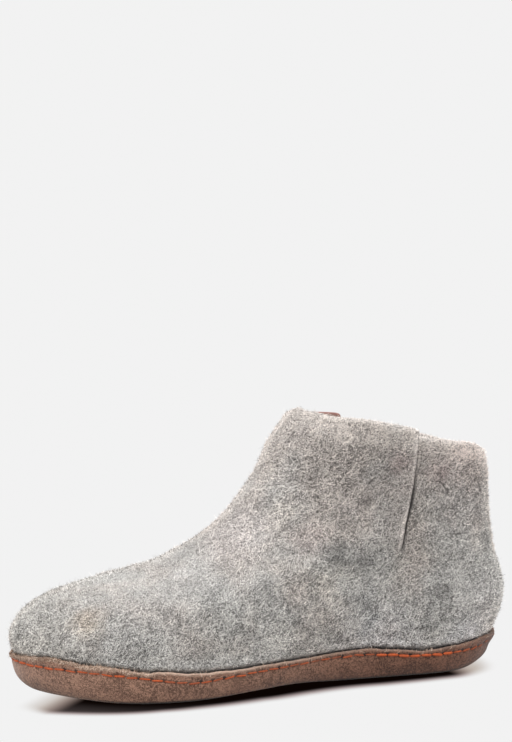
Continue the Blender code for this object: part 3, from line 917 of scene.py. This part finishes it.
def fibre_tone(centre, out, pale, gleam, chance):
    """Tone of each fibre from 0 to 1: its kind's paleness, clumps of three sizes, chance, the rim's painted
    gleam.

    Clumps are stronger up the shaft. Both are weaker on faces that look up, more so behind the toe.
    """
    clump = 0.08 * lumps(centre, 0.0016, 61) + 0.23 * lumps(centre, 0.0045, 62)
    clump = clump + 0.20 * lumps(centre, 0.0110, 63)
    clump = clump * (1.0 + 0.35 * smooth((centre[:, 2] - 0.07) / 0.03))
    facing_up = np.clip(out[..., 2].mean(axis=0), 0.0, 1.0)
    calm = facing_up * smooth((centre[:, 0] + 0.115) / 0.03)
    spread = 0.66 - 0.32 * facing_up - 0.20 * calm
    tone = pale + clump * (1.0 - 0.35 * facing_up - 0.25 * calm)
    tone = tone + spread * chance.standard_normal(len(centre))
    # gleam: painted highlight below the rim, and below zero painted shade at the seam
    return np.clip(tone + (0.36 - 0.20 * facing_up) * gleam, 0.0, 1.0)


def build_fibres(name, surface, rows, count, fibre, seed, material, slot, favour=None, glow=None):
    """Loose fibres on a span of a surface's rows: ribbons of a few quads with a tone and the surface's lie."""
    chance = np.random.default_rng(seed)
    row, column = fibre_spots(surface, rows, count, favour, chance)
    path = fibre_paths(surface, row, column, rows, fibre, chance)
    points, centre, out = fibre_ribbons(surface, *path, fibre, chance)
    gleam = 0.0 if glow is None else sample(glow[..., None], *path)[..., 0].mean(axis=0)
    tone = fibre_tone(centre, out, fibre.pale, gleam, chance)
    tone = np.broadcast_to(tone[:, None, None], points.shape[:3])
    lie = np.broadcast_to(unit(out.mean(axis=0))[:, None, None], points.shape)
    quads = quads_between(np.arange(tone.size).reshape(tone.shape))
    make_piece(name, points, quads, material, tone=tone, lie=lie)


def more_at_toe(at):
    """Share of fray: little along the sides and heel, full in front of the ball."""
    return 0.06 + smooth((-0.07 - at[..., 0]) / 0.03)


# Suede sole

SOLE_COLUMNS = 480

# angle, width in degrees, rise of the larger waves in the hand-cut edge
EDGE_WAVES = (
    (154.0, 9.0, 0.0025), (137.0, 5.0, 0.0006), (126.0, 3.0, -0.0006), (121.0, 3.0, 0.0005),
    (86.0, 6.0, -0.0007), (69.0, 5.0, 0.0009), (53.0, 5.0, -0.0014), (30.0, 10.0, 0.0015),
    (15.0, 6.0, -0.0019), (6.0, 6.0, -0.0013), (167.0, 6.0, 0.0006), (190.0, 13.0, -0.0022),
)

# angle, width in degrees, drop of the hand-sewn line
SEWING_WAVES = ((190.0, 10.0, 0.0018), (115.0, 9.0, 0.0018), (72.0, 7.0, -0.0007), (50.0, 8.0, 0.0008))

# angle, width in degrees, share of the suede that stands off behind the heel
HEEL_FLARE = ((9.0, 14.0, 1.0),)

LIP_RISE = 0.00055        # roundness of the cut edge
UV_SCALE = 100.0          # of the height across the sewing
UNDER_UV = (0.5, 2.0)     # faces under the foot, away from holes and the painted contact shadow


def cut_edge(angle):
    """Rise and fall of the suede's cut edge along the sewn line: small lumps of two sizes and larger waves."""
    line = plan_offset(angle, np.zeros_like(angle))
    small = 0.00025 * lumps(line, 0.005, 11) + 0.00020 * lumps(line, 0.0021, 12)
    return small + hand_waves(angle, EDGE_WAVES)


def suede_side(angle, turn, side, floor):
    """Turned-up side whose upper edge follows the cut edge, and whose lower edge stays on the floor."""
    points = tray(angle, turn, side, floor)
    points[..., 2] += cut_edge(angle) * (1.0 - np.sin(np.radians(turn)))
    return points


def suede_relief(angle, outer, depth, below):
    """Height over the plain side: a groove along the sewing, a flare under the cut edge, and soft puffs.

    The flare is most behind the heel. All of it fades out at the ground.
    """
    groove = 0.00035 * bell(below / 0.0009)
    flare = 0.0002 * bell(depth / 0.0022)
    heel = 0.0016 * bell(depth / 0.0036) - 0.0008 * bell((depth - 0.0065) / 0.003)
    flare = flare + heel * hand_waves(angle, HEEL_FLARE)
    puff = 0.0003 * lumps(outer, 0.018, 13) + 0.0002 * lumps(outer, 0.006, 14) - 0.0003
    still = smooth((np.abs(outer[..., 2]) - 0.0006) / 0.003)
    return (flare - groove + puff) * still


def build_sole(material):
    """Closed suede tray from rows of loops: walked-on face, outer side, rounded cut edge, inner side, floor.

    The tone is 1 at the cut edge and fades below it. The UV counts stitches along the sewing, and height across
    it. Returns the rows, and what the sewing needs.
    """
    angle = np.linspace(0.0, 360.0, SOLE_COLUMNS + 1)
    outline = plan_offset(angle, np.full_like(angle, GAP + SUEDE))
    outer_turns = np.degrees(np.linspace(0.0, 0.5 * math.pi, 34))
    inner_turns = np.linspace(90.0, 0.0, 9)
    inner = np.stack([suede_side(angle, np.full_like(angle, t), GAP, SOLE_FLOOR) for t in inner_turns])
    outer = np.stack([suede_side(angle, np.full_like(angle, t), GAP + SUEDE, 0.0) for t in outer_turns])
    depth = outer[0, :, 2] - outer[..., 2]
    sewn = outline[:, 2] - STITCH_DEPTH - hand_waves(angle, SEWING_WAVES)
    below = sewn - outer[..., 2]
    out = felt_normal(angle, np.zeros_like(angle))
    outer = outer + suede_relief(angle, outer, depth, below)[..., None] * out
    middle = 0.5 * (inner[-1] + outer[0])
    bend = np.radians(np.linspace(180.0, 0.0, 7)[1:-1])[:, None, None]
    lip = middle + np.cos(bend) * (outer[0] - middle) + np.sin(bend) * np.array([0.0, 0.0, LIP_RISE])
    rows = np.concatenate([inner, lip, outer])[::-1]
    run = np.linalg.norm(np.diff(outline, axis=0), axis=-1)
    stitches = round(run.sum() / STITCH_PITCH)
    travel = np.concatenate([[0.0], np.cumsum(run)]) / run.sum() * stitches
    inside = np.ones((len(inner) + len(lip), len(angle)))
    across = np.concatenate([-inside, below * UV_SCALE])[::-1]
    pale = np.concatenate([inside, 1.0 - smooth(depth / 0.0032)])[::-1]
    uv = np.stack([np.broadcast_to(travel, across.shape), across], axis=-1).reshape(-1, 2)
    index = np.arange(pale.size).reshape(pale.shape)
    uv = uv[quads_between(index).ravel()]
    index[:, -1] = index[:, 0]
    caps = np.concatenate([close_across(index[0, :-1]), close_across(index[-1, :-1])[:, ::-1]])
    uv = np.concatenate([uv, np.tile(UNDER_UV, (caps.size, 1))])
    quads = np.concatenate([quads_between(index), caps])
    make_piece("suede_sole", rows, quads, material, "sole", uv=uv, tone=pale)
    return rows, angle, outer, sewn, travel, stitches


def along_sewing(spot, travel, values):
    """Values of a closed line at fractional stitch counts."""
    spot = np.mod(spot, travel[-1])
    return np.stack([np.interp(spot, travel, values[:, k]) for k in range(3)], axis=-1)


def build_stitches(angle, outer, sewn, travel, stitches, material):
    """Thread: one bent six-sided tube for each stitch, rising from one hole and diving into the next.

    Stitches are a little out of line by chance, sunk at the ends of the foot, fat beside the heel and thicker
    at the toe. The tone is dull behind the ball, beside the arch and at the heel's end, bright where they're fat.
    """
    row = np.argmin(np.abs(outer[..., 2] - sewn), axis=0)
    line = outer[row, np.arange(outer.shape[1])]
    line[:, 2] = sewn
    t = np.linspace(-1.0, 1.0, 9)
    chance = np.random.default_rng(21)
    spot = np.arange(stitches)[:, None] + 0.5 + 0.46 * t
    path = along_sewing(spot, travel, line)
    out = unit(along_sewing(spot, travel, felt_normal(angle, np.zeros_like(angle))))
    rise = THREAD_RADIUS * (1.0 - 1.5 * t**8) - 0.00015
    x, y = path[:, 4, 0], path[:, 4, 1]
    sunk = smooth((x - 0.107) / 0.006) + smooth((y - 0.002) / 0.003) * smooth((-0.126 - x) / 0.004)
    path = path + out * (rise - 0.0005 * sunk[:, None])[..., None]
    uneven = chance.normal(0.0, 0.00018, (stitches, 1))
    path[..., 2] += uneven + chance.normal(0.0, 0.00020, (stitches, 1)) * t
    along = unit(np.gradient(path, axis=1))
    side = unit(np.cross(along, out))
    out = np.cross(side, along)
    fat = 1.0 + 0.10 * chance.standard_normal(stitches) + 0.25 * smooth((-0.112 - x) / 0.010)
    fat = fat + 0.75 * smooth((x - 0.042) / 0.010) * smooth((0.099 - x) / 0.012)
    dull = bell((x + 0.055) / 0.014) + bell((x - 0.018) / 0.024)
    dull = dull + 0.8 * smooth((x - 0.095) / 0.010)
    bright = 0.75 - 0.5 * dull + 0.25 * (fat - 1.0) + 0.22 * chance.standard_normal(stitches)
    thick = THREAD_RADIUS * fat[:, None, None, None] * (1.0 - 0.35 * t**4)[None, :, None, None]
    turn = np.arange(6)[:, None] * math.pi / 3.0
    tube = path[:, :, None] + thick * (np.cos(turn) * side[:, :, None] + np.sin(turn) * out[:, :, None])
    tone = np.broadcast_to(np.clip(bright, 0.0, 1.0)[:, None, None], tube.shape[:3])
    index = np.arange(tone.size).reshape(tone.shape)
    first, last = index[:, 0], index[:, -1]
    quads = [quads_between(np.concatenate([index, index[:, :, :1]], axis=2))]
    quads += [first[:, [0, 1, 2, 3]], first[:, [0, 3, 4, 5]], last[:, [3, 2, 1, 0]], last[:, [5, 4, 3, 0]]]
    make_piece("sole_sewing", tube, np.concatenate(quads), material, tone=tone)


# Insole and tab

# distance out, share of the height along the inlay's section: lower edge, rounded side, dished top
INLAY_PROFILE = (
    (-2.0 * GAP, 0.0), (0.0016, 0.35), (0.0022, 0.6), (0.0021, 0.85),
    (0.0012, 1.0), (-0.004, 1.0), (-0.009, 0.93), (-0.014, 0.88),
)
INLAY_COLUMNS = 240
TAB_ANGLE = 242.0         # middle of the tab round the collar
TAB_HALF = 11.5           # degrees to each side of it
TAB_LEVEL = 7.6           # its lower end
TAB_STAND = 0.0037        # over the collar
TAB_LEAN = 0.0009         # more of that at its front than in the middle
TAB_THICK = 0.0012
TAB_GAP = 0.0004


def build_insole(material):
    """Felt inlay: loops of its section carried round the foot, closed straight across above and below."""
    angle = np.linspace(0.0, 360.0, INLAY_COLUMNS + 1)
    foot = edge_round(angle) * (1.0 - math.cos(math.radians(FELT_FOOT))) + FELT
    rows = []
    for out, high in INLAY_PROFILE:
        loop = plan_offset(angle, out - foot)
        uneven = 0.0002 * lumps(loop, 0.008, 31) * smooth(high)
        loop[:, 2] = walked_on(angle) + SOLE_FLOOR + GAP + INSOLE * high + uneven
        rows.append(loop)
    rows = np.stack(rows)
    tone = np.ones(rows.shape[:2])
    index = np.arange(tone.size).reshape(tone.shape)
    index[:, -1] = index[:, 0]
    quads = [quads_between(index), close_across(index[0, :-1]), close_across(index[-1, :-1])[:, ::-1]]
    make_piece("felt_inlay", rows, np.concatenate(quads), material, "insole", tone=tone)


def build_tab(material):
    """Leather tab: a grid over the inner face of the felt, rounded at its corners, closed all round."""
    across = np.linspace(-1.0, 1.0, 25)
    up = np.linspace(0.0, 1.0, 17)
    top_level = len(LEVELS) - 1.0
    angle, level = np.meshgrid(TAB_ANGLE + TAB_HALF * across, TAB_LEVEL + (top_level - TAB_LEVEL) * up)
    wall = felt_surface(angle, level)
    out = felt_normal(angle, level)
    rise = unit(wall[-1] - wall[-2])
    stand = (TAB_STAND + TAB_LEAN * across) * np.clip(1.0 - np.abs(across) ** 8 * 0.45, 0.0, 1.0)
    wall = wall + (stand[:, None] * rise)[None] * smooth((up[:, None, None] - 0.55) / 0.45)
    behind = wall - (FELT + TAB_GAP) * out
    before = behind - TAB_THICK * out
    ring = np.concatenate([behind, before[::-1]])
    index = np.arange(ring[..., 0].size).reshape(ring.shape[:2])
    quads = quads_between(np.concatenate([index, index[:1]]))
    edges = close_edges(index, np.arange(len(up) - 1))
    make_piece("leather_tab", ring, np.concatenate([quads, edges]), material, "collar_tab")


# Studio

# angle, distance of the painted contact shadow's soft edge from the sole's contact line, and that edge's width
SHADOW = (
    (0.0, 0.0072, 0.00984), (30.0, 0.0124, 0.0123), (48.0, 0.0131, 0.0123), (66.0, 0.0161, 0.01312),
    (85.0, 0.0164, 0.01394), (98.0, 0.0131, 0.01312), (114.0, 0.0144, 0.01148), (122.0, 0.0159, 0.01066),
    (136.0, 0.0219, 0.01066), (150.0, 0.0279, 0.01148), (165.0, 0.0217, 0.01558), (180.0, 0.0122, 0.01476),
    (200.0, 0.0102, 0.01312), (360.0, 0.0082, 0.00984),
)

# angle, width in degrees, share of the spot beside the ball where the shadow is a little thinner
THIN_SHADOW = ((145.0, 22.0, 0.05),)

FAR_RINGS = (0.08, 0.12, 0.3, 1.0, 8.0)


def floor_material():
    """Pale floor, evenly bright to the eye but for the painted contact shadow, and dull to all other light.

    The shadow is nearly black under the foot, brown where it fades at toe and heel, and warm at its soft edge.
    """
    material, tree, shader = new_material("pale_floor", 0.9, Base_Color=FLOOR_DULL)
    _, (x, y, _) = object_place(tree)
    toward_toe = maths(tree, "MULTIPLY_ADD", y, -0.84, maths(tree, "SUBTRACT", x, 0.0176))
    edge = maths(tree, "MINIMUM", ramp(tree, toward_toe, -0.140, -0.112), ramp(tree, x, 0.132, 0.107))
    core = maths(tree, "MINIMUM", ramp(tree, toward_toe, -0.1235, -0.100), ramp(tree, x, 0.1105, 0.0925))
    dark = attribute(tree, "dark")
    colour = mix_colour(tree, core, mix_colour(tree, edge, PALE, SHADOW_END), SHADOW_CORE)
    colour = mix_colour(tree, dark, PALE, colour)
    warm = maths(tree, "MULTIPLY", ramp(tree, dark, 0.0, 0.8), core)
    colour = times(tree, colour, mix_colour(tree, warm, WHITE, SHADOW_WARMTH))
    glow = add_node(tree, "ShaderNodeEmission", Color=colour).outputs["Emission"]
    seen = add_node(tree, "ShaderNodeLightPath").outputs["Is Camera Ray"]
    both = add_node(tree, "ShaderNodeMixShader", i0=seen, i1=shader.outputs["BSDF"], i2=glow)
    tree.links.new(both.outputs["Shader"], tree.nodes["Material Output"].inputs["Surface"])
    return material


def build_floor():
    """Floor in rings round the sole's contact line, closed along the middle, with its share of painted shadow."""
    angle = np.linspace(0.0, 360.0, 361)
    line = tray(angle, np.full_like(angle, 90.0), GAP + SUEDE, 0.0)
    out = felt_normal(angle, np.zeros_like(angle))
    reach = np.concatenate([[-0.020], np.arange(0.0, 0.062, 0.002), FAR_RINGS])[:, None]
    at, edge, wide = zip(*SHADOW)
    edge = np.interp(angle, at, edge)
    wide = np.interp(angle, at, wide)
    thin = smooth(reach / edge) * hand_waves(angle, THIN_SHADOW)
    dark = (1.0 - smooth((reach - edge) / wide + 0.5)) * (1.0 - thin)
    points = line + reach[..., None] * out
    points = np.concatenate([points[:1] * [1.0, 0.0, 1.0], points])
    points[..., 2] = 0.0
    dark = np.concatenate([dark[:1], dark])
    quads = quads_between(np.arange(dark.size).reshape(dark.shape))[:, ::-1]
    mesh = bpy.data.meshes.new("floor")
    mesh.from_pydata(points.reshape(-1, 3).tolist(), [], quads.tolist())
    kept = mesh.attributes.new("dark", "FLOAT", "POINT")
    kept.data.foreach_set("value", dark.astype(np.float32).ravel())
    mesh.materials.append(floor_material())
    floor = bpy.data.objects.new("floor", mesh)
    bpy.context.collection.objects.link(floor)


def build_studio():
    """Pale floor and backdrop, even light from all round, a wide soft light overhead, and the camera."""
    build_floor()

    world = bpy.data.worlds.new("studio")
    world.use_nodes = True
    tree = world.node_tree
    seen = add_node(tree, "ShaderNodeLightPath").outputs["Is Camera Ray"]
    colour = mix_colour(tree, seen, WORLD_LIGHT, PALE)
    tree.links.new(colour, tree.nodes["Background"].inputs["Color"])
    bpy.context.scene.world = world

    sun = bpy.data.lights.new("soft_key", "SUN")
    sun.energy = KEY_ENERGY
    sun.angle = KEY_WIDTH
    key = bpy.data.objects.new("soft_key", sun)
    key.rotation_euler = Vector(KEY_ALONG).to_track_quat("-Z", "Y").to_euler()
    bpy.context.collection.objects.link(key)

    lens = bpy.data.cameras.new("camera")
    lens.lens = CAMERA_LENS
    lens.sensor_width = 36.0
    camera = bpy.data.objects.new("camera", lens)
    camera.location = CAMERA_AT
    camera.rotation_euler = Vector(CAMERA_ALONG).to_track_quat("-Z", "Y").to_euler()
    bpy.context.collection.objects.link(camera)
    bpy.context.scene.camera = camera
    bpy.context.scene.view_settings.view_transform = "Standard"


ring, slit_row, outer_rows = felt_ring()
# painted highlight below the rim and painted shade in the crevice over the suede
glow = rim_painted_highlight(ring, outer_rows)
shade = seam_shade(ring)
build_felt(ring, slit_row, glow, shade, felt_material("wool_felt_mottled"))

felt = surface_of(ring, slit_row)
bands = BAND_ROWS + (outer_rows + RIM_ROWS,)
all_rows = (bands[0], bands[-1])
# the fibres carry the rim's painted highlight and the seam's painted shade
loose = dict(material=fibre_material(), slot="wool_felt", glow=glow - SEAM_SHADE * shade)
build_fibres("short_wool_low", felt, bands[0:2], SHORT_COUNT, SHORT, 41, **loose)
build_fibres("short_wool_middle", felt, bands[1:3], SHORT_COUNT, SHORT, 42, **loose)
build_fibres("short_wool_high", felt, bands[2:4], SHORT_COUNT, SHORT, 46, **loose)
build_fibres("curled_wool", felt, all_rows, CURLED_COUNT, CURLED, 45, **loose)
build_fibres("long_wool", felt, all_rows, LONG_COUNT, LONG, 43, **loose)

sole_rows, *sewing = build_sole(suede_material())
build_stitches(*sewing, thread_material())
fray = dict(material=fray_material(), slot="suede", favour=more_at_toe)
build_fibres("cut_edge_fray", surface_of(sole_rows), FRAY_ROWS, FRAY_COUNT, FRAY, 44, **fray)
build_insole(felt_material("inlay_felt_mottled", Light=INLAY_LIGHT, Dark=INLAY_DARK))
build_tab(tab_material())
build_studio()
